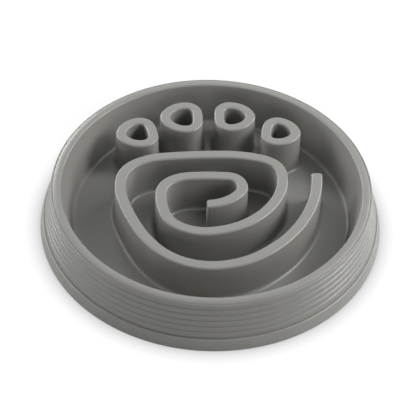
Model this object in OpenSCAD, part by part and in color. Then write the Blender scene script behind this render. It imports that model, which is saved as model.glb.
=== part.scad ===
// Slow feeder bowl. A shallow round dish has a maze on its floor: a spiral wall as the pad of a
// paw, and four hollow cups as its toes. Outside, a flared skirt with grooves hangs from the rim,
// and a grip ring is pressed on the skirt's foot.
// Millimetres, +Z up, toes towards +Y, origin on the table under the bowl's centre.

/* [Bowl] */
// Diameter at which the dish's side wall would meet the floor; the maze and the rim follow it
dish_d = 236.6; // [200:0.2:280]
// Height of the rim above the table
bowl_h = 43; // [34:0.5:60]
// Height of the dish's floor above the table
floor_z = 5.5; // [4.5:0.1:9]
// How far the dish's side wall leans out on its way up to the rim
wall_run = 7.1; // [5:0.1:12]
// Width of the rim from its inner edge to its outer edge
rim_w = 8.9; // [7.4:0.1:12]
// Rounding of the rim's inner edge
rim_edge_r = 1.9; // [1:0.1:1.9]
// Radius of the crown with which the rim's top falls off to the outside
rim_crown_r = 10; // [6:0.5:14]
// Turn of that crown, from level to its edge
rim_crown_turn = 22; // [12:1:25]
// Width of the fine line between the rim's crown and the top edge of the skirt
rim_line_w = 0.7; // [0.4:0.1:1.2]
// Depth of that line
rim_line_depth = 0.6; // [0.2:0.1:0.8]
// Thickness of the moulded walls and floor
wall_t = 2.6; // [2:0.1:3.2]
// Rounding between the floor and the side wall
dish_fillet_r = 3.5; // [2:0.1:7]

/* [Skirt] */
// How far the skirt flares out from the rim down to the grip ring
skirt_run = 6.6; // [3:0.1:12]
// Rounding of the skirt's top edge
skirt_edge_r = 0.9; // [0.4:0.1:1.5]
// Number of grooves round the skirt
groove_n = 5; // [1:1:8]
// Height from the top of the rim down to the first groove
groove_drop = 5.1; // [4:0.1:8]
// Height from the top of the grip ring up to the last groove
groove_rise = 5.7; // [2:0.1:8]
// Depth of a groove
groove_depth = 0.7; // [0.3:0.05:1.1]
// Width of a groove from lip to lip
groove_w = 1.8; // [1:0.1:1.8]

/* [Grip ring] */
// Height of the grip ring
ring_h = 10.8; // [9:0.1:12]
// Thickness of the ring outside the skirt, at its foot
ring_band_t = 3.9; // [3:0.1:6]
// Thickness of the ring outside the skirt, at its top
ring_top_t = 1.6; // [1:0.1:3.9]
// Thickness of the ring's inner lip
ring_lip_t = 3; // [2:0.1:5]
// Height of the ring's inner lip above the table
ring_lip_h = 8; // [6.5:0.1:9]
// Thickness of the ring under the skirt
ring_base_t = 2.4; // [1.5:0.1:2.6]
// Rounding of the ring's top edge, as a share of its thickness there
ring_edge_share = 0.87; // [0.4:0.01:0.97]
// Rounding of the ring's bottom edges
ring_foot_r = 0.6; // [0.2:0.1:1]
// Gap between the skirt and the ring's band
ring_gap = 0.2; // [0.15:0.05:0.6]
// Radius of the bead inside the skirt's foot that holds the ring on
bead_r = 0.6; // [0.3:0.05:0.8]
// Clearance round the bead and beside the ring's inner lip
ring_fit = 0.1; // [0.05:0.05:0.2]

/* [Maze] */
// How far the tops of the maze's walls lie under the rim
maze_drop = 2.5; // [0:0.1:12]
// Rounding along the walls' top edges
maze_edge_r = 1.6; // [0.5:0.1:2]
// How much each face of a wall moves out between its top and the floor
maze_flare = 0.6; // [0.3:0.1:1]

/* [Spiral pad] */
// Radius that the spiral's arcs are shares of, as a share of the dish's radius
pad_r_share = 0.761; // [0.73:0.001:0.77]
// Place of the spiral's outer end to the right of the centre, as a share of the dish's radius
pad_start_x_share = 0.757; // [0.74:0.001:0.77]
// Place of the spiral's outer end behind the centre, as a share of the dish's radius
pad_start_y_share = 0.123; // [0.1:0.001:0.13]
// Width of the spiral wall at its top
pad_w = 9.4; // [8:0.1:10]
// Rounding between the spiral wall and the floor
pad_foot_r = 3.5; // [2:0.1:5]

/* [Toe cups] */
// Length of the outer left toe cup, as a share of the dish's radius
outer_left_toe_l_share = 0.32; // [0.29:0.001:0.325]
// Distance of the outer left toe from the centre line, as a share of the dish's radius
outer_left_toe_x_share = 0.532; // [0.53:0.001:0.54]
// Distance of the outer left toe behind the centre, as a share of the dish's radius
outer_left_toe_y_share = 0.56; // [0.55:0.001:0.562]
// Length of the inner left toe cup, as a share of the dish's radius
inner_left_toe_l_share = 0.333; // [0.29:0.001:0.335]
// Distance of the inner left toe from the centre line, as a share of the dish's radius
inner_left_toe_x_share = 0.2; // [0.198:0.001:0.203]
// Distance of the inner left toe behind the centre, as a share of the dish's radius
inner_left_toe_y_share = 0.73; // [0.727:0.001:0.74]
// Length of the inner right toe cup, as a share of the dish's radius
inner_right_toe_l_share = 0.321; // [0.29:0.001:0.325]
// Distance of the inner right toe from the centre line, as a share of the dish's radius
inner_right_toe_x_share = 0.202; // [0.196:0.001:0.208]
// Distance of the inner right toe behind the centre, as a share of the dish's radius
inner_right_toe_y_share = 0.737; // [0.727:0.001:0.745]
// Length of the outer right toe cup, as a share of the dish's radius
outer_right_toe_l_share = 0.304; // [0.28:0.001:0.315]
// Distance of the outer right toe from the centre line, as a share of the dish's radius
outer_right_toe_x_share = 0.536; // [0.53:0.001:0.545]
// Distance of the outer right toe behind the centre, as a share of the dish's radius
outer_right_toe_y_share = 0.565; // [0.55:0.001:0.57]
// Width of a toe cup's wall at its top
toe_w = 8.8; // [8:0.1:9.4]
// Rounding between a toe cup's outside and the floor
toe_foot_r = 2.6; // [1.5:0.1:3.4]
// Rounding at the bottom of a toe cup's hole
cup_foot_r = 1.6; // [1:0.1:1.8]
// Turn of the outer toes away from the centre line
outer_toe_turn = 13; // [0:1:20]

/* [Hidden] */
$fn = 180;

plastic = [0.60, 0.596, 0.58];
band_grey = [0.56, 0.557, 0.54];

// Overrun of every cut past the faces that it opens
over = 1;
// Steps in a rounded edge of a turned section, and in one of a maze wall's section
round_steps = 6;
edge_steps = 3;
// How far a maze wall's flat stretches may lie inside its true arcs
arc_rise = 0.15;
dish_r = dish_d / 2;
pad_r = pad_r_share * dish_r;
under_z = floor_z - wall_t;
maze_z = bowl_h - maze_drop;
ceiling_z = maze_z - wall_t;

// Turn of the spiral's outer end: the direction that its outer face looks in
pad_start_turn = -1;
// The spiral's arcs from its outer end to its inner one: radius as a share of pad_r, and turn
pad_arc_shares = [
    [1.24, 58], [0.82, 29], [0.67, 51], [1.10, 14], [2.00, 12], [0.64, 23], [0.30, 51], [0.61, 25],
    [4.88, 7], [1.16, 17], [0.39, 15], [0.20, 49], [0.57, 34], [0.78, 61], [0.45, 38], [0.28, 38],
    [0.85, 17], [0.22, 59], [0.35, 26], [2.00, 11], [0.137, 125], [0.40, 49.4]
];
// Rounding of the spiral's two ends: distance from the end and inset, as shares of the edge radius
pad_end_shares = [[0, 1], [0.3, 0.29], [1, 0]];

// A toe's outline has three round corners: place to the right and behind its centre, and radius,
// as shares of the toe's length. The sides between them are arcs, also as shares.
toe_corner_shares = [[0.112, 0.005, 0.36], [-0.11, 0.135, 0.365], [-0.11, -0.138, 0.365]];
toe_side_shares = [0.625, 1.56, 0.6];

function flip(points) = [for (p = points) [-p[0], p[1]]];
function backwards(list) = [for (i = [len(list) - 1:-1:0]) list[i]];
function heading(turn) = [cos(turn), sin(turn)];
function turn_of(v) = atan2(v[1], v[0]);
function full_turn(a) = a < 0 ? a + 360 : a;
function degrees(length, r) = length / r * 180 / PI;

// Points along an arc of a section
function bend(centre, r, from, to, steps = round_steps) =
    [for (i = [0:steps]) centre + r * heading(from + (to - from) * i / steps)];

// Steps that keep an arc's flat stretches within arc_rise of it
function arc_steps(r, turn) = max(1, ceil(turn / (2 * acos(1 - arc_rise / r))));

// How far a maze wall leans, and where its foot's rounding ends beside a wall of this half width
function lean() = atan(maze_flare / (maze_z - floor_z - maze_edge_r));
function foot_x(half_w, foot_r) = half_w + maze_flare + foot_r * (1 - sin(lean())) / cos(lean());

// One face of a maze wall, from its top edge down to the floor, inset where an end is rounded
function wall_face(half_w, foot_r, inset = 0) = concat(
    bend([half_w - inset - maze_edge_r, maze_z - inset - maze_edge_r],
         maze_edge_r, 90, 0, edge_steps),
    bend([foot_x(half_w - inset, foot_r), floor_z + foot_r],
         foot_r, 180 + lean(), 270, edge_steps));
// Number of points in a face
face_n = 2 * (edge_steps + 1);

// The hollow of a maze wall, open below, from its right foot over its top to its left foot
function wall_hollow(half_w) = [
    [half_w + maze_flare - wall_t, under_z],
    [half_w - wall_t, ceiling_z],
    [wall_t - half_w, ceiling_z],
    [wall_t - half_w - maze_flare, under_z]
];

// A section stood up across a wall's run at a place, which is [x, y, turn]
function stood_up(place, section) = [
    for (p = section)
        let (q = [place[0], place[1]] + p[0] * heading(place[2]))
        [q[0], q[1], p[1]]
];
function in_plan(place, x) = [place[0], place[1]] + x * heading(place[2]);

// The face between points a and b of one ring of points and of the next
function strip(ring, next, a, b) = [ring + a, ring + b, next + b, next + a];

// Spiral wall

function pad_arc_r(k) = pad_arc_shares[k][0] * pad_r;
function pad_turn(k) = k == 0 ? pad_start_turn : pad_turn(k - 1) - pad_arc_shares[k - 1][1];
function pad_centre(k) = k == 0
    ? dish_r * [pad_start_x_share, pad_start_y_share] - pad_arc_r(0) * heading(pad_start_turn)
    : pad_centre(k - 1) + (pad_arc_r(k - 1) - pad_arc_r(k)) * heading(pad_turn(k));
pad_last = len(pad_arc_shares) - 1;

// The place on arc k, this many degrees from where the arc begins
function pad_place(k, along) =
    let (turn = pad_turn(k) - along, p = pad_centre(k) + pad_arc_r(k) * heading(turn))
    [p[0], p[1], turn];
function pad_start(distance) = pad_place(0, degrees(distance, pad_arc_r(0)));
function pad_end(distance) =
    pad_place(pad_last, pad_arc_shares[pad_last][1] - degrees(distance, pad_arc_r(pad_last)));

// Places along the wall between its ends
pad_places = [
    for (k = [0:pad_last])
        let (turn = pad_arc_shares[k][1], steps = arc_steps(pad_arc_r(k), turn))
        for (i = [1:k == pad_last ? steps - 1 : steps])
            pad_place(k, turn * i / steps)
];
// The whole run of the wall: places, each with its inset
pad_run = concat(
    [for (s = pad_end_shares) [pad_start(s[0] * maze_edge_r), s[1] * maze_edge_r]],
    [for (place = pad_places) [place, 0]],
    [for (s = backwards(pad_end_shares)) [pad_end(s[0] * maze_edge_r), s[1] * maze_edge_r]]
);
pad_hollow_run = concat([pad_start(wall_t)], pad_places, [pad_end(wall_t)]);

function pad_foot_x(inset) = foot_x(pad_w / 2 - inset, pad_foot_r);
function pad_half(inset) =
    concat(wall_face(pad_w / 2, pad_foot_r, inset), [[pad_foot_x(inset), under_z]]);
function pad_section(inset) = concat(pad_half(inset), backwards(flip(pad_half(inset))));

// The wall's outline under the floor: along its outer foot, and back along its inner one
function pad_outline() = concat(
    [for (s = pad_run) in_plan(s[0], pad_foot_x(s[1]))],
    backwards([for (s = pad_run) in_plan(s[0], -pad_foot_x(s[1]))]));

module pad_wall() {
    ring_n = 2 * (face_n + 1);
    hollow_n = len(wall_hollow(pad_w / 2));
    ends = len(pad_end_shares) - 1;
    last = len(pad_run) - 1;
    last_hollow = len(pad_hollow_run) - 1;
    // Numbers of the points: in ring i, at its right and left foot, and in the hollow's ring i
    function ring(i) = i * ring_n;
    function right(i) = ring(i) + face_n;
    function left(i) = ring(i) + face_n + 1;
    function hollow(i) = ring(last + 1) + i * hollow_n;
    function hollow_right(i) = hollow(i);
    function hollow_left(i) = hollow(i) + hollow_n - 1;
    points = concat(
        [for (s = pad_run) each stood_up(s[0], pad_section(s[1]))],
        [for (place = pad_hollow_run) each stood_up(place, wall_hollow(pad_w / 2))]);
    outside = [
        for (i = [0:last - 1], j = [0:ring_n - 1])
            if (j != face_n) strip(ring(i), ring(i + 1), j, (j + 1) % ring_n)
    ];
    inside = [
        for (i = [0:last_hollow - 1], j = [0:hollow_n - 2])
            strip(hollow(i), hollow(i + 1), j, j + 1)
    ];
    underside = [
        for (i = [0:last_hollow - 1], n = [i + ends]) each [
            [hollow_right(i), hollow_right(i + 1), right(n + 1), right(n)],
            [left(n), left(n + 1), hollow_left(i + 1), hollow_left(i)]
        ]
    ];
    end_faces = [
        for (j = [0:face_n - 1], m = [ring_n - 1 - j]) each [
            [ring(0) + j, ring(0) + m, ring(0) + m - 1, ring(0) + j + 1],
            [ring(last) + j, ring(last) + j + 1, ring(last) + m - 1, ring(last) + m]
        ]
    ];
    end_undersides = [
        for (i = [0:ends - 1], n = [last - 1 - i]) each [
            [hollow_right(0), right(i + 1), right(i)],
            [hollow_left(0), left(i), left(i + 1)],
            [hollow_right(last_hollow), right(n + 1), right(n)],
            [hollow_left(last_hollow), left(n), left(n + 1)]
        ]
    ];
    closing = [
        [left(0), hollow_left(0), hollow_right(0), right(0)],
        [right(last), hollow_right(last_hollow), hollow_left(last_hollow), left(last)],
        [for (j = [hollow_n - 1:-1:0]) hollow(0) + j],
        [for (j = [0:hollow_n - 1]) hollow(last_hollow) + j]
    ];
    polyhedron(points,
               concat(outside, inside, underside, end_faces, end_undersides, closing));
}

// Toe cups

function corner_at(l, i) = l * [toe_corner_shares[i % 3][0], toe_corner_shares[i % 3][1]];
function corner_r(l, i) = l * toe_corner_shares[i % 3][2];
function side_r(l, i) = l * toe_side_shares[i % 3];

// Centre of the side that runs from corner i to the next, tangent to both corners
function side_centre(l, i) =
    let (a = corner_at(l, i), b = corner_at(l, i + 1), d = norm(b - a), u = (b - a) / d,
         to_a = side_r(l, i) - corner_r(l, i), to_b = side_r(l, i) - corner_r(l, i + 1),
         along = (to_a * to_a - to_b * to_b + d * d) / (2 * d))
    a + along * u + sqrt(to_a * to_a - along * along) * [-u[1], u[0]];
function side_from(l, i) = turn_of(corner_at(l, i) - side_centre(l, i));
function side_to(l, i) = turn_of(corner_at(l, i + 1) - side_centre(l, i));

// Places along the middle of the wall over one arc, without the arc's first place
function arc_places(centre, r, from, to) =
    let (turn = full_turn(to - from), steps = arc_steps(r, turn))
    [
        for (i = [1:steps])
            let (t = from + turn * i / steps, p = centre + (r - toe_w / 2) * heading(t))
            [p[0], p[1], t]
    ];

// Places round the whole toe, clockwise
function toe_places(l) = backwards([
    for (i = [0:2]) each concat(
        arc_places(side_centre(l, i), side_r(l, i), side_from(l, i), side_to(l, i)),
        arc_places(corner_at(l, i + 1), corner_r(l, i + 1), side_to(l, i), side_from(l, i + 1)))
]);

function toe_foot_x() = foot_x(toe_w / 2, toe_foot_r);
function toe_outline(l_share) =
    [for (place = toe_places(l_share * dish_r)) in_plan(place, toe_foot_x())];

// A cup: a hollow wall round a hole, with the cup's floor across the hole's foot
module toe_cup(l_share) {
    places = toe_places(l_share * dish_r);
    rings = len(places);
    section = concat(
        wall_face(toe_w / 2, toe_foot_r),
        [[toe_foot_x(), under_z]],
        wall_hollow(toe_w / 2),
        flip(wall_face(toe_w / 2, cup_foot_r)));
    ring_n = len(section);
    hole_top = ring_n - face_n;
    hollow_end = hole_top - 1;
    faces = [
        for (i = [0:rings - 1], ring = [i * ring_n], next = [(i + 1) % rings * ring_n]) each concat(
            [strip(ring, next, hole_top, 0)],
            [for (j = [0:hollow_end - 1]) strip(ring, next, j, j + 1)],
            [for (j = [hole_top:ring_n - 2]) strip(ring, next, j + 1, j)])
    ];
    cup_floor = [for (i = [0:rings - 1]) i * ring_n + ring_n - 1];
    cup_underside = [for (i = [rings - 1:-1:0]) i * ring_n + hollow_end];
    polyhedron([for (place = places) each stood_up(place, section)],
               concat(faces, [cup_floor, cup_underside]));
}

module at_toe(x_share, y_share, turn = 0)
    translate([x_share * dish_r, y_share * dish_r, 0])
        rotate([0, 0, -turn])
            children();

module on_left()
    mirror([1, 0, 0])
        children();

// Each puts a toe's shape in the place of one of the toes
module at_outer_left()
    on_left()
        at_toe(outer_left_toe_x_share, outer_left_toe_y_share, outer_toe_turn)
            children();

module at_inner_left()
    on_left()
        at_toe(inner_left_toe_x_share, inner_left_toe_y_share)
            children();

module at_inner_right()
    at_toe(inner_right_toe_x_share, inner_right_toe_y_share)
        children();

module at_outer_right()
    at_toe(outer_right_toe_x_share, outer_right_toe_y_share, outer_toe_turn)
        children();

// A cut through the dish's floor with this outline
module floor_cut(outline)
    translate([0, 0, under_z - over])
        linear_extrude(wall_t + 2 * over)
            polygon(outline);

// Bowl shell

rim_inner_r = dish_r + wall_run;
rim_r = rim_inner_r + rim_w;
skirt_r = rim_r + skirt_run;
skirt_top_z = bowl_h - rim_edge_r;
// Lean of the dish's side wall, and the middle of the rounding at its foot
dish_lean = atan(wall_run / (skirt_top_z - floor_z));
dish_foot_r = dish_r - dish_fillet_r * (1 - sin(dish_lean)) / cos(dish_lean);
// The same for the back of the wall, a wall's thickness away
back_r = dish_r + wall_t / cos(dish_lean);

function skirt_at(z) = skirt_r + (rim_r - skirt_r) * (z - ring_h) / (skirt_top_z - ring_h);
skirt_lean = atan(skirt_run / (skirt_top_z - ring_h));
// Level of the crown's edge and of the skirt's top edge beside it, and the middles of the crown
// and of that edge's rounding
crown_edge_z = bowl_h - rim_crown_r * (1 - cos(rim_crown_turn));
skirt_edge_z = crown_edge_z - skirt_edge_r;
skirt_edge_at = [skirt_at(skirt_edge_z) - skirt_edge_r / cos(skirt_lean), skirt_edge_z];
crown_edge_x = skirt_edge_at[0] - rim_line_w;
crown_at = [crown_edge_x - rim_crown_r * sin(rim_crown_turn), bowl_h - rim_crown_r];

groove_pitch = (bowl_h - groove_drop - ring_h - groove_rise) / max(1, groove_n - 1);
function groove_z(i) = bowl_h - groove_drop - i * groove_pitch;
// Depth of a groove at a share of its half width away from its middle
function groove_dip(share) = groove_depth * (1 + cos(180 * share)) / 2;
groove_step_shares = [1, 0.7, 0.4, 0, -0.4, -0.7, -1];

function skirt_outline() = [
    for (i = [0:groove_n - 1], s = groove_step_shares)
        let (z = groove_z(i) + s * groove_w / 2)
        [skirt_at(z) - groove_dip(s), z]
];

tongue_inner_r = skirt_r - wall_t;
bead_z = (ring_base_t + ring_lip_h) / 2;

module bowl_shell()
    color(plastic)
        difference() {
            rotate_extrude()
                polygon(concat(
                    [[0, floor_z]],
                    bend([dish_foot_r, floor_z + dish_fillet_r], dish_fillet_r, 270, 360 - dish_lean),
                    bend([rim_inner_r + rim_edge_r, bowl_h - rim_edge_r], rim_edge_r, 180, 90),
                    bend(crown_at, rim_crown_r, 90, 90 - rim_crown_turn),
                    [[crown_edge_x + rim_line_w / 2, crown_edge_z - rim_line_depth]],
                    bend(skirt_edge_at, skirt_edge_r, 90, skirt_lean),
                    skirt_outline(),
                    [[skirt_r, ring_h], [skirt_r, ring_base_t], [tongue_inner_r, ring_base_t]],
                    bend([tongue_inner_r, bead_z], bead_r, 270, 90),
                    [[tongue_inner_r, ring_h],
                     [rim_r - wall_t, bowl_h - wall_t],
                     [rim_inner_r + wall_t, bowl_h - wall_t],
                     [back_r, floor_z],
                     [dish_r, under_z],
                     [0, under_z]]));
            floor_cut(pad_outline());
            at_outer_left() floor_cut(toe_outline(outer_left_toe_l_share));
            at_inner_left() floor_cut(toe_outline(inner_left_toe_l_share));
            at_inner_right() floor_cut(toe_outline(inner_right_toe_l_share));
            at_outer_right() floor_cut(toe_outline(outer_right_toe_l_share));
        }

module spiral_wall()
    color(plastic)
        pad_wall();

module toe_cup_outer_left()
    color(plastic)
        at_outer_left() toe_cup(outer_left_toe_l_share);

module toe_cup_inner_left()
    color(plastic)
        at_inner_left() toe_cup(inner_left_toe_l_share);

module toe_cup_inner_right()
    color(plastic)
        at_inner_right() toe_cup(inner_right_toe_l_share);

module toe_cup_outer_right()
    color(plastic)
        at_outer_right() toe_cup(outer_right_toe_l_share);

// Grip ring

ring_r = skirt_r + ring_gap + ring_band_t;
lip_outer_r = tongue_inner_r - ring_fit;
lip_inner_r = lip_outer_r - ring_lip_t;
band_inner_r = skirt_r + ring_gap;
// Middles of the roundings at the band's top and foot, and the lean of the face between them
ring_edge_r = ring_edge_share * ring_top_t;
ring_edge_at = [band_inner_r + ring_top_t - ring_edge_r, ring_h - ring_edge_r];
ring_foot_at = [ring_r - ring_foot_r, ring_foot_r];
ring_lean = turn_of(ring_edge_at - ring_foot_at)
    - acos((ring_foot_r - ring_edge_r) / norm(ring_edge_at - ring_foot_at));

module grip_ring()
    color(band_grey)
        rotate_extrude()
            polygon(concat(
                bend(ring_edge_at, ring_edge_r, 90, ring_lean),
                bend(ring_foot_at, ring_foot_r, ring_lean, -90),
                bend([lip_inner_r + ring_foot_r, ring_foot_r], ring_foot_r, 270, 180),
                [[lip_inner_r, ring_lip_h], [lip_outer_r, ring_lip_h]],
                bend([tongue_inner_r, bead_z], bead_r + ring_fit, 90, 270),
                [[lip_outer_r, ring_base_t], [band_inner_r, ring_base_t], [band_inner_r, ring_h]]));

bowl_shell();
spiral_wall();
toe_cup_outer_left();
toe_cup_inner_left();
toe_cup_inner_right();
toe_cup_outer_right();
grip_ring();
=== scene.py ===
# Slow feeder bowl: one grey plastic moulding with a paw-shaped maze in its dish, and a soft band
# pressed on its foot. The sections follow it as it is put together. Metres, +Z up, toes to +Y.
from math import atan, atan2, ceil, cos, pi, radians, sin, sqrt, tan

import bmesh
import bpy
from mathutils import Matrix, Vector


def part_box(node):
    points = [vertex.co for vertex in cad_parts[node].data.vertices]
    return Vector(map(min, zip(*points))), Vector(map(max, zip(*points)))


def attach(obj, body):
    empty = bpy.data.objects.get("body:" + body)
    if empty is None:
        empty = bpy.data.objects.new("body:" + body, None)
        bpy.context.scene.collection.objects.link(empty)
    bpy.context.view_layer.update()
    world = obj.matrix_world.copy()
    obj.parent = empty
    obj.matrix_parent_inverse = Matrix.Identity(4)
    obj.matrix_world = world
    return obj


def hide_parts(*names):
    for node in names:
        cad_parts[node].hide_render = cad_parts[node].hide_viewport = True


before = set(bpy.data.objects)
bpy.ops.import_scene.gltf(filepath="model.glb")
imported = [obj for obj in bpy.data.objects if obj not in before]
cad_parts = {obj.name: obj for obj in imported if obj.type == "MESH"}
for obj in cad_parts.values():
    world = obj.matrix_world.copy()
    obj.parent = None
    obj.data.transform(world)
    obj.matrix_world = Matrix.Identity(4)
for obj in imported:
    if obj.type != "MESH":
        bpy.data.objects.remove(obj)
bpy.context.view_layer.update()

# Bowl moulding: the crowned rim, the leaning side wall, the dish's floor and the flared skirt are
# one skin of satin plastic, open below. A fine line parts the rim from the skirt, and five more
# part the skirt's soft ribs. A section is turned round the middle, and the floor comes later.
mm = 0.001
rim_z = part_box("bowl_shell")[1].z
skirt_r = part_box("bowl_shell")[1].x
ring_top_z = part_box("grip_ring")[1].z
floor_z = 5.5 * mm
skin_t = 2.6 * mm
under_z = floor_z - skin_t
dish_r = 118.3 * mm
rim_inner_r = dish_r + 7.1 * mm
rim_outer_r = skirt_r - 6.6 * mm
rim_edge_z = rim_z - 1.9 * mm
rim_inner_round = 1.6 * mm
crown_run = 1.8 * mm
crown_round = 9 * mm
skirt_edge_round = 0.8 * mm
quarter_steps = 80
merge_gap = 0.01 * mm
sharp_turn = radians(34)
floor_edge_r = dish_r - 4.2 * mm
dish_round = 3.5 * mm
under_round = 4 * mm
tongue_r = skirt_r - skin_t
tongue_z = 2.4 * mm
bead_z = 5.2 * mm
bead_r = 0.6 * mm
bead_round = 0.5 * mm
crown_edge = (132.7 * mm, rim_z - 0.75 * mm)
rim_line = (133.0 * mm, rim_z - 1.3 * mm)
skirt_edge_r = 133.35 * mm
groove_zs = [(37.95 - 5.35 * i) * mm for i in range(5)]
groove_half_w = 0.7 * mm
groove_depth = 0.9 * mm
groove_round = 0.15 * mm
rib_bulge = 0.3 * mm
rib_round = 12 * mm
tongue_round = 0.3 * mm
rib_middles = [(40.2 - 5.35 * i) * mm for i in range(6)]
inside_round = 0.9 * mm


def round_off(bm, vert, radius, segments=6):
    ways = [(edge.other_vert(vert).co - vert.co).normalized() for edge in vert.link_edges]
    turn = pi - ways[0].angle(ways[1])
    bmesh.ops.bevel(bm, geom=[vert], offset=radius * tan(turn / 2), segments=segments,
                    profile=0.5, affect="VERTICES", clamp_overlap=False, material=-1)


def draw_section(bm, corners, closed=False):
    before = set(bm.verts)
    verts = [bm.verts.new((x, 0, z)) for x, z, _ in corners]
    ahead = verts[1:] + verts[:1] if closed else verts[1:]
    for here, after in zip(verts, ahead):
        bm.edges.new((here, after))
    for vert, (_, _, radius) in zip(verts, corners):
        if radius:
            round_off(bm, vert, radius)
    section = [vert for vert in bm.verts if vert not in before]
    return section + list({edge for vert in section for edge in vert.link_edges})


def turn_round(bm, section):
    bmesh.ops.spin(bm, geom=section, cent=(0, 0, 0), axis=(0, 0, 1), angle=pi / 2,
                   steps=quarter_steps)
    for axis in "XY":
        bmesh.ops.mirror(bm, geom=bm.verts[:] + bm.edges[:] + bm.faces[:], axis=axis,
                         merge_dist=merge_gap)


def fill_level(bm, z):
    bmesh.ops.remove_doubles(bm, verts=bm.verts, dist=merge_gap)
    edges = [edge for edge in bm.edges
             if edge.is_boundary and all(abs(vert.co.z - z) < merge_gap for vert in edge.verts)]
    bmesh.ops.triangle_fill(bm, edges=edges, use_beauty=True, normal=(0, 0, 1))


def group_socket(group, name, in_out, kind, value=None):
    socket = group.interface.new_socket(name=name, in_out=in_out, socket_type=kind)
    if value is not None:
        socket.default_value = value


def put_node(tree, kind, **settings):
    node = tree.nodes.new(kind)
    for name, value in settings.items():
        setattr(node, name, value)
    return node


def noise(tree, where, scale, detail):
    node = put_node(tree, "ShaderNodeTexNoise")
    node.inputs["Detail"].default_value = detail
    tree.links.new(where, node.inputs["Vector"])
    if isinstance(scale, (int, float)):
        node.inputs["Scale"].default_value = scale
    else:
        tree.links.new(scale, node.inputs["Scale"])
    return node.outputs["Fac"]


def remap(tree, value, low, high, to_low, to_high):
    node = put_node(tree, "ShaderNodeMapRange")
    tree.links.new(value, node.inputs["Value"])
    for name, limit in zip(("From Min", "From Max", "To Min", "To Max"),
                           (low, high, to_low, to_high)):
        if isinstance(limit, (int, float)):
            node.inputs[name].default_value = limit
        else:
            tree.links.new(limit, node.inputs[name])
    return node.outputs["Result"]


def maths(tree, operation, a, b):
    node = put_node(tree, "ShaderNodeMath", operation=operation)
    for socket, value in zip(node.inputs, (a, b)):
        if isinstance(value, (int, float)):
            socket.default_value = value
        else:
            tree.links.new(value, socket)
    return node.outputs["Value"]


# The finish that both plastics share: a fine spark-eroded grain, faint flow clouds in the colour
# and in the shine, and edges that handling has rubbed a little smoother and lighter.
grained = bpy.data.node_groups.new("grained_finish", "ShaderNodeTree")
group_socket(grained, "Colour", "INPUT", "NodeSocketColor", (0.4, 0.4, 0.4, 1))
group_socket(grained, "Cloudiness", "INPUT", "NodeSocketFloat", 0.03)
group_socket(grained, "Grain per metre", "INPUT", "NodeSocketFloat", 2000)
group_socket(grained, "Roughness", "INPUT", "NodeSocketFloat", 0.4)
group_socket(grained, "Rubbed", "INPUT", "NodeSocketFloat", 0.1)
group_socket(grained, "Colour", "OUTPUT", "NodeSocketColor")
group_socket(grained, "Roughness", "OUTPUT", "NodeSocketFloat")
group_socket(grained, "Height", "OUTPUT", "NodeSocketFloat")
given = put_node(grained, "NodeGroupInput")
result = put_node(grained, "NodeGroupOutput")
where = put_node(grained, "ShaderNodeTexCoord").outputs["Object"]
clouds = noise(grained, where, 34, 3)
flow = noise(grained, where, 260, 4)
grain = noise(grained, where, given.outputs["Grain per metre"], 2)
pointed = remap(grained, put_node(grained, "ShaderNodeNewGeometry").outputs["Pointiness"],
                0.505, 0.56, 0, 1)
rubbed = maths(grained, "MULTIPLY", maths(grained, "MULTIPLY", pointed, given.outputs["Rubbed"]),
               remap(grained, flow, 0.35, 0.65, 0.3, 1))
tint = put_node(grained, "ShaderNodeHueSaturation")
darker = maths(grained, "SUBTRACT", 1, given.outputs["Cloudiness"])
lighter = maths(grained, "ADD", 1, given.outputs["Cloudiness"])
value = maths(grained, "ADD", remap(grained, clouds, 0.3, 0.7, darker, lighter), rubbed)
grained.links.new(maths(grained, "ADD", value, remap(grained, grain, 0.3, 0.7, -0.006, 0.006)),
                  tint.inputs["Value"])
grained.links.new(given.outputs["Colour"], tint.inputs["Color"])
grained.links.new(tint.outputs["Color"], result.inputs["Colour"])
shine = maths(grained, "ADD", given.outputs["Roughness"],
              remap(grained, flow, 0.3, 0.7, -0.01, 0.01))
grained.links.new(maths(grained, "SUBTRACT", shine, maths(grained, "MULTIPLY", rubbed, 0.6)),
                  result.inputs["Roughness"])
grained.links.new(grain, result.inputs["Height"])


def plastic(name, colour, cloudiness, grain_per_m, grain_depth, roughness, rubbed):
    material = bpy.data.materials.new(name)
    material.use_nodes = True
    tree = material.node_tree
    shader = tree.nodes["Principled BSDF"]
    finish = put_node(tree, "ShaderNodeGroup", node_tree=grained)
    finish.inputs["Colour"].default_value = (*colour, 1)
    finish.inputs["Cloudiness"].default_value = cloudiness
    finish.inputs["Grain per metre"].default_value = grain_per_m
    finish.inputs["Roughness"].default_value = roughness
    finish.inputs["Rubbed"].default_value = rubbed
    bump = put_node(tree, "ShaderNodeBump")
    bump.inputs["Distance"].default_value = grain_depth
    tree.links.new(finish.outputs["Height"], bump.inputs["Height"])
    tree.links.new(finish.outputs["Colour"], shader.inputs["Base Color"])
    tree.links.new(finish.outputs["Roughness"], shader.inputs["Roughness"])
    tree.links.new(bump.outputs["Normal"], shader.inputs["Normal"])
    return material


satin_plastic = plastic("satin_plastic", (0.285, 0.2805, 0.264), cloudiness=0.015, grain_per_m=1500,
                        grain_depth=0.0006 * mm, roughness=0.3, rubbed=0.04)


def finish_piece(bm, name, material, node):
    bmesh.ops.remove_doubles(bm, verts=bm.verts, dist=merge_gap)
    bmesh.ops.recalc_face_normals(bm, faces=bm.faces)
    mesh = bpy.data.meshes.new(name)
    bm.to_mesh(mesh)
    bm.free()
    mesh.shade_smooth()
    mesh.set_sharp_from_angle(angle=sharp_turn)
    mesh.materials.append(material)
    piece = bpy.data.objects.new(name, mesh)
    bpy.context.scene.collection.objects.link(piece)
    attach(piece, "root")
    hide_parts(node)
    return piece


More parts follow.
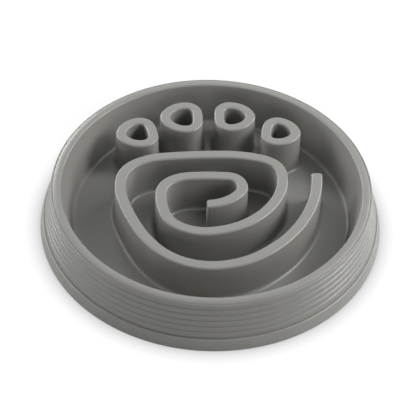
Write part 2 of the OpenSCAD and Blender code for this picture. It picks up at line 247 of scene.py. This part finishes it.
def skirt_at(z):
    return rim_outer_r + (rim_edge_z - z) * (skirt_r - rim_outer_r) / (rim_edge_z - ring_top_z)


wall_lean = atan((rim_inner_r - dish_r) / (rim_edge_z - floor_z))
ribs = []
for z, groove_z in zip(rib_middles, groove_zs):
    ribs += [
        (skirt_at(z) + rib_bulge, z, rib_round),
        (skirt_at(groove_z + groove_half_w), groove_z + groove_half_w, groove_round),
        (skirt_at(groove_z) - groove_depth, groove_z, groove_round),
        (skirt_at(groove_z - groove_half_w), groove_z - groove_half_w, groove_round),
    ]
moulding = bmesh.new()
moulding_section = draw_section(moulding, [
    (floor_edge_r, floor_z, 0),
    (dish_r, floor_z, dish_round),
    (dish_r + (rim_z - floor_z) * tan(wall_lean), rim_z, rim_inner_round),
    (crown_edge[0] - crown_run, rim_z, crown_round),
    (*crown_edge, 0),
    (*rim_line, 0.15 * mm),
    (skirt_edge_r, crown_edge[1], 0),
    (skirt_at(crown_edge[1]), crown_edge[1], skirt_edge_round),
    *ribs,
    (skirt_at(rib_middles[-1]) + rib_bulge, rib_middles[-1], rib_round),
    (skirt_r, ring_top_z, 0),
    (skirt_r, tongue_z, tongue_round),
    (tongue_r, tongue_z, tongue_round),
    (tongue_r, bead_z - bead_r, 0),
    (tongue_r - bead_r, bead_z, bead_round),
    (tongue_r, bead_z + bead_r, 0),
    (tongue_r, ring_top_z, 0),
    (rim_outer_r - skin_t, rim_z - skin_t, inside_round),
    (rim_inner_r + skin_t, rim_z - skin_t, inside_round),
    (dish_r + skin_t / cos(wall_lean), under_z, under_round),
    (floor_edge_r, under_z, 0),
])
turn_round(moulding, moulding_section)

# Spiral wall of the pad: a hollow wall with a rounded top, leaning out a little towards its foot
# for the draft of the mould, with a rounded foot. The section of its face is carried along one
# side of the spiral's arcs, round the soft corners of its end, and back along the other side.
maze_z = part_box("spiral_wall")[1].z
ceiling_z = maze_z - skin_t
maze_flare = 0.6 * mm
maze_edge_round = 1.6 * mm
hollow_round = 0.6 * mm
pad_half_w = 4.7 * mm
pad_foot_round = 3.5 * mm
pad_r = 0.761 * dish_r
pad_start = Vector((0.757 * dish_r, 0.123 * dish_r, 0))
pad_start_turn = radians(-1)
pad_arcs = [
    (1.24, 58), (0.82, 29), (0.67, 51), (1.10, 14), (2.00, 12), (0.64, 23), (0.30, 51), (0.61, 25),
    (4.88, 7), (1.16, 17), (0.39, 15), (0.20, 49), (0.57, 34), (0.78, 61), (0.45, 38), (0.28, 38),
    (0.85, 17), (0.22, 59), (0.35, 26), (2.00, 11), (0.137, 125), (0.40, 49.4),
]
wall_step = 1.6 * mm
flange_w = 0.3 * mm
end_round = 2.2 * mm


def heading(turn):
    return Vector((cos(turn), sin(turn), 0))


def foot_x(half_w, foot_round):
    lean = atan(maze_flare / (maze_z - floor_z))
    return half_w + maze_flare + foot_round * tan((pi / 2 - lean) / 2) + flange_w


def wall_face(half_w, foot_round):
    return [
        (half_w, maze_z, maze_edge_round),
        (half_w + maze_flare, floor_z, foot_round),
        (foot_x(half_w, foot_round), floor_z, 0),
    ]


def verts_of(section):
    return [part for part in section if isinstance(part, bmesh.types.BMVert)]


def carry_along(bm, section, stretch):
    place, turn, centre, arc, slide, steps = stretch
    stood_up = Matrix.Translation(place) @ Matrix.Rotation(turn, 4, "Z")
    bmesh.ops.transform(bm, verts=verts_of(section), matrix=stood_up)
    return bmesh.ops.spin(bm, geom=section, cent=centre, axis=(0, 0, 1), dvec=slide / steps,
                          angle=arc, steps=steps)["geom_last"]


def join(whole, part):
    carrier = bpy.data.meshes.new("carrier")
    part.to_mesh(carrier)
    part.free()
    whole.from_mesh(carrier)
    bpy.data.meshes.remove(carrier)


def sweep(whole, corners, path):
    for stretch in path:
        part = bmesh.new()
        carry_along(part, draw_section(part, corners), stretch)
        join(whole, part)


def round_end(middle, turn, side):
    near = middle + side * heading(turn)
    far = middle - side * heading(turn)
    return [
        (near, turn, near, -pi / 2, Vector(), 6),
        (near, turn - pi / 2, near, 0, far - near, 3),
        (far, turn - pi / 2, far, -pi / 2, Vector(), 6),
    ]


# The way round the spiral at this distance beside its middle line, turning at points that lie
# this far inside its two ends.
def pad_path(side, inside):
    out, back = [], []
    turn = pad_start_turn
    radius = pad_arcs[0][0] * pad_r
    centre = pad_start - radius * heading(turn)
    last = len(pad_arcs) - 1
    for k, (share, degrees) in enumerate(pad_arcs):
        centre = centre + (radius - share * pad_r) * heading(turn)
        radius = share * pad_r
        begin = turn - (inside / radius if k == 0 else 0)
        turn -= radians(degrees)
        end = turn + (inside / radius if k == last else 0)
        steps = max(2, ceil(radius * (begin - end) / wall_step))
        out.append((centre + (radius + side) * heading(begin), begin, centre, end - begin,
                    Vector(), steps))
        back.append((centre + (radius - side) * heading(end), end - pi, centre, begin - end,
                     Vector(), steps))
        if k == 0:
            start = round_end(centre + radius * heading(begin), begin - pi, side)
    tip = round_end(centre + radius * heading(end), end, side)
    return out + tip + back[::-1] + start


pad_side = pad_half_w - end_round
pad_face = [
    (pad_side, maze_z, 0),
    *wall_face(pad_half_w, pad_foot_round),
    (foot_x(pad_half_w, pad_foot_round), under_z, 0),
]
pad_wall = bmesh.new()
sweep(pad_wall, [(x - pad_side, z, radius) for x, z, radius in pad_face],
      pad_path(pad_side, end_round))
fill_level(pad_wall, maze_z)
hollow_half_w = pad_half_w - skin_t
hollow_side = hollow_half_w - hollow_round
sweep(pad_wall, [
    (0, ceiling_z, 0),
    (hollow_round, ceiling_z, hollow_round / 2),
    (hollow_round + maze_flare, under_z, 0),
], pad_path(hollow_side, skin_t + hollow_round))
fill_level(pad_wall, ceiling_z)
fill_level(pad_wall, under_z)
finish_piece(pad_wall, "spiral_pad", satin_plastic, "spiral_wall")

# Toe cups: four egg-shaped rings of the same hollow wall, each with a hole and a small floor of
# its own at the hole's foot. Each is the same rounded outline at its own size and place, carried
# once round. The two on the left are mirrored.
toe_half_w = 4.4 * mm
toe_foot_round = 2.8 * mm
cup_foot_round = 1.6 * mm
toe_corners = [(0.112, 0.005, 0.36), (-0.11, 0.135, 0.365), (-0.11, -0.138, 0.365)]
toe_side_rs = [0.625, 1.56, 0.6]
toes = [
    ("toe_cup_outer_left", 0.32, -0.532, 0.56, 13),
    ("toe_cup_inner_left", 0.333, -0.2, 0.73, 0),
    ("toe_cup_inner_right", 0.321, 0.202, 0.737, 0),
    ("toe_cup_outer_right", 0.304, 0.536, 0.565, 13),
]


def wall_hollow(half_w):
    return [
        (half_w + maze_flare - skin_t, under_z, 0),
        (half_w - skin_t, ceiling_z, hollow_round),
        (skin_t - half_w, ceiling_z, hollow_round),
        (skin_t - half_w - maze_flare, under_z, 0),
    ]


def flipped(corners):
    return [(-x, z, radius) for x, z, radius in reversed(corners)]


def direction(here, there):
    return atan2(there.y - here.y, there.x - here.x)


def toe_path(length):
    rounds = [(Vector((x, y, 0)) * length, share * length) for x, y, share in toe_corners]
    stretches = []
    for (a, a_r), (b, b_r), side in zip(rounds, rounds[1:] + rounds[:1], toe_side_rs):
        side_r = side * length
        apart = (b - a).length
        along = ((side_r - a_r) ** 2 - (side_r - b_r) ** 2 + apart ** 2) / (2 * apart)
        way = (b - a) / apart
        across = Vector((-way.y, way.x, 0)) * sqrt((side_r - a_r) ** 2 - along ** 2)
        centre = a + along * way + across
        stretches += [(centre, side_r, direction(centre, a)), (b, b_r, direction(centre, b))]
    path = []
    for (centre, radius, turn), (_, _, next_turn) in zip(stretches, stretches[1:] + stretches[:1]):
        arc = (next_turn - turn) % (2 * pi)
        steps = max(3, ceil(radius * arc / wall_step))
        place = centre + (radius - toe_half_w) * heading(turn)
        path.append((place, turn, centre, arc, Vector(), steps))
    return path


def put_in_place(bm, verts, x_share, y_share, turn):
    side = -1 if x_share < 0 else 1
    matrix = (Matrix.Translation((x_share * dish_r, y_share * dish_r, 0))
              @ Matrix.Scale(side, 4, (1, 0, 0)) @ Matrix.Rotation(-radians(turn), 4, "Z"))
    bmesh.ops.transform(bm, verts=verts, matrix=matrix)


for name, length_share, x_share, y_share, turn in toes:
    cup = bmesh.new()
    sweep(cup, [
        *flipped(wall_face(toe_half_w, cup_foot_round)),
        *wall_face(toe_half_w, toe_foot_round),
        (foot_x(toe_half_w, toe_foot_round), under_z, 0),
        *wall_hollow(toe_half_w),
    ], toe_path(length_share * dish_r))
    fill_level(cup, floor_z)
    fill_level(cup, under_z)
    put_in_place(cup, cup.verts, x_share, y_share, turn)
    finish_piece(cup, name.replace("toe_cup", "toe"), satin_plastic, name)

# Floor of the dish: the outlines of the walls' feet are drawn along the same paths and taken down
# through the skin, and the floor of the moulding is filled in round them.
def outline(bm, x, path):
    before = set(bm.verts)
    for stretch in path:
        carry_along(bm, [bm.verts.new((x, 0, floor_z))], stretch)
    return [vert for vert in bm.verts if vert not in before]


feet = bmesh.new()
outline(feet, foot_x(pad_half_w, pad_foot_round) - pad_side, pad_path(pad_side, end_round))
for name, length_share, x_share, y_share, turn in toes:
    toe_outline = outline(feet, foot_x(toe_half_w, toe_foot_round),
                          toe_path(length_share * dish_r))
    put_in_place(feet, toe_outline, x_share, y_share, turn)
bmesh.ops.remove_doubles(feet, verts=feet.verts, dist=merge_gap)
below = bmesh.ops.extrude_edge_only(feet, edges=feet.edges)["geom"]
bmesh.ops.translate(feet, verts=verts_of(below), vec=(0, 0, -skin_t))
join(moulding, feet)
fill_level(moulding, floor_z)
fill_level(moulding, under_z)
finish_piece(moulding, "bowl_moulding", satin_plastic, "bowl_shell")

# Grip ring: a soft channel pressed on the skirt's foot, held by the skirt's bead. Its band leans
# in towards a rounded top edge that stands clear of the skirt and leaves a dark line there.
ring_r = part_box("grip_ring")[1].x
ring_clear = 0.1 * mm
band_inner_r = skirt_r + ring_clear
band_top_r = band_inner_r + 1.6 * mm
lip_r = tongue_r - ring_clear
lip_inner_r = lip_r - 3 * mm
lip_z = 8 * mm
ring_foot_round = 0.6 * mm
band_bulge = 0.25 * mm
band_round = 20 * mm
band_edge_round = 1.2 * mm
soft_rubber = plastic("soft_rubber", (0.3, 0.295, 0.278), cloudiness=0.015, grain_per_m=1100,
                      grain_depth=0.0006 * mm, roughness=0.36, rubbed=0.03)
ring = bmesh.new()
ring_section = draw_section(ring, [
    (ring_r, 0, ring_foot_round),
    ((ring_r + band_top_r) / 2 + band_bulge, ring_top_z / 2, band_round),
    (band_top_r, ring_top_z, band_edge_round),
    (band_inner_r, ring_top_z, 0.1 * mm),
    (band_inner_r, tongue_z, 0),
    (lip_r, tongue_z, 0),
    (lip_r, bead_z - bead_r - ring_clear, 0),
    (lip_r - bead_r, bead_z, bead_round),
    (lip_r, bead_z + bead_r + ring_clear, 0),
    (lip_r, lip_z, 0.3 * mm),
    (lip_inner_r, lip_z, 0.8 * mm),
    (lip_inner_r, 0, ring_foot_round),
], closed=True)
turn_round(ring, ring_section)
finish_piece(ring, "foot_ring", soft_rubber, "grip_ring")

# Studio: a white table, a white surround, and soft lamps. Seen by the camera the table is a white
# glow
# with painted shadow: painted shade where the bowl shuts it in and behind it, over the bowl's faint
# real shadow.
table_half_w = 4
# How far the painted shadows on the table reach, and how dark the painted back shadow gets
painted_crease_shadow_reach = 18 * mm
painted_back_shadow_reach = 90 * mm
painted_back_shadow_from, painted_back_shadow_to = 60 * mm, 150 * mm
painted_back_shadow_share = 0.75
table_white_painted_shadow = bpy.data.materials.new("table_white_painted_shadow")
table_white_painted_shadow.use_nodes = True
tree = table_white_painted_shadow.node_tree
tree.nodes.remove(tree.nodes["Principled BSDF"])
paint = put_node(tree, "ShaderNodeBsdfDiffuse")
paint.inputs["Color"].default_value = (0.8, 0.8, 0.8, 1)
faint_paint = put_node(tree, "ShaderNodeBsdfDiffuse")
faint_paint.inputs["Color"].default_value = (0.06, 0.06, 0.06, 1)
# Painted contact shadow: occlusion close to the bowl dims the table's white glow
painted_crease_shadow = put_node(tree, "ShaderNodeAmbientOcclusion", samples=16)
painted_crease_shadow.inputs["Distance"].default_value = painted_crease_shadow_reach
# Painted back shadow: occlusion over a hemisphere tilted to the front, faded in along Y behind the
# bowl, dims the glow more
painted_back_occlusion = put_node(tree, "ShaderNodeAmbientOcclusion", samples=16)
painted_back_occlusion.inputs["Distance"].default_value = painted_back_shadow_reach
painted_back_occlusion.inputs["Normal"].default_value = (0, -0.8, 0.6)
table_place = put_node(tree, "ShaderNodeSeparateXYZ")
tree.links.new(put_node(tree, "ShaderNodeTexCoord").outputs["Object"],
               table_place.inputs["Vector"])
glow = put_node(tree, "ShaderNodeEmission")
painted_back_shadow_mask = remap(tree, table_place.outputs["Y"], painted_back_shadow_from, painted_back_shadow_to,
                   0, painted_back_shadow_share)
painted_back_shadow = maths(tree, "MULTIPLY", painted_back_shadow_mask,
                   remap(tree, painted_back_occlusion.outputs["AO"], 0, 1, 1, 0))
# Painted shadow: the strength of the white glow is cut by both occlusions
painted_shadow_strength = maths(tree, "MULTIPLY", painted_crease_shadow.outputs["AO"],
                   maths(tree, "SUBTRACT", 1, painted_back_shadow))
tree.links.new(painted_shadow_strength, glow.inputs["Strength"])
shown_white = put_node(tree, "ShaderNodeAddShader")
tree.links.new(faint_paint.outputs["BSDF"], shown_white.inputs[0])
tree.links.new(glow.outputs["Emission"], shown_white.inputs[1])
either = put_node(tree, "ShaderNodeMixShader")
tree.links.new(put_node(tree, "ShaderNodeLightPath").outputs["Is Camera Ray"],
               either.inputs["Fac"])
tree.links.new(paint.outputs["BSDF"], either.inputs[1])
tree.links.new(shown_white.outputs["Shader"], either.inputs[2])
tree.links.new(either.outputs["Shader"], tree.nodes["Material Output"].inputs["Surface"])
table = bmesh.new()
bmesh.ops.create_grid(table, x_segments=1, y_segments=1, size=table_half_w)
table_mesh = bpy.data.meshes.new("table")
table.to_mesh(table_mesh)
table.free()
table_mesh.materials.append(table_white_painted_shadow)
table_top = bpy.data.objects.new("table", table_mesh)
bpy.context.scene.collection.objects.link(table_top)

# Each lamp: name, degrees round from the right, degrees up, width in metres, power in watts
lamp_distance = 1.3
lamps = [
    ("lamp_right", 0, 40, 0.5, 8.7),
    ("lamp_back_right", 30, 25, 0.5, 6),
    ("lamp_high_right", 30, 55, 0.5, 1.5),
    ("lamp_high_back", 90, 55, 0.5, 0.5),
    ("lamp_back_left", 120, 25, 0.5, 5.2),
    ("lamp_far_left", 150, 25, 0.5, 6.9),
    ("lamp_left", 180, 12, 0.5, 4.5),
    ("lamp_front", 270, 12, 0.5, 2.4),
    ("lamp_front_right", 330, 25, 0.5, 2.2),
]
for name, azimuth, elevation, size, power in lamps:
    light = bpy.data.lights.new(name, "AREA")
    light.size = size
    light.energy = power
    lamp = bpy.data.objects.new(name, light)
    towards = (Matrix.Rotation(radians(azimuth), 4, "Z")
               @ Matrix.Rotation(-radians(elevation), 4, "Y") @ Vector((1, 0, 0)))
    lamp.location = lamp_distance * towards
    lamp.rotation_euler = (-towards).to_track_quat("-Z", "Y").to_euler()
    bpy.context.scene.collection.objects.link(lamp)

surround_light = 0
world = bpy.data.worlds.new("surround")
world.use_nodes = True
tree = world.node_tree
background = tree.nodes["Background"]
background.inputs["Color"].default_value = (1, 1, 1, 1)
light_path = put_node(tree, "ShaderNodeLightPath").outputs
shown = maths(tree, "MAXIMUM", light_path["Is Camera Ray"],
              maths(tree, "MAXIMUM", light_path["Is Glossy Ray"],
                    light_path["Is Transmission Ray"]))
tree.links.new(remap(tree, shown, 0, 1, surround_light, 1), background.inputs["Strength"])
bpy.context.scene.world = world
bpy.context.scene.view_settings.view_transform = "Standard"

# Camera: it stands in front and looks down at 46 degrees, as in the photograph.
camera_place = Vector((-0.05592, -0.84189, 0.86918))
camera_target = Vector((-0.00107, 0.01218, 0))
camera_roll = radians(2.2286)
camera_slide = (-0.52 * mm, 0.69 * mm)
camera_data = bpy.data.cameras.new("camera")
camera_data.lens = 122.23
camera_data.sensor_width = 36
camera = bpy.data.objects.new("camera", camera_data)
ahead = (camera_target - camera_place).normalized()
right = ahead.cross(Vector((0, 0, 1))).normalized()
up = right.cross(ahead)
right_turned = cos(camera_roll) * right + sin(camera_roll) * up
up_turned = cos(camera_roll) * up - sin(camera_roll) * right
camera_matrix = Matrix((right_turned, up_turned, -ahead)).transposed().to_4x4()
camera_matrix.translation = (camera_place + camera_slide[0] * right_turned
                             + camera_slide[1] * up_turned)
camera.matrix_world = camera_matrix
bpy.context.scene.collection.objects.link(camera)
bpy.context.scene.camera = camera
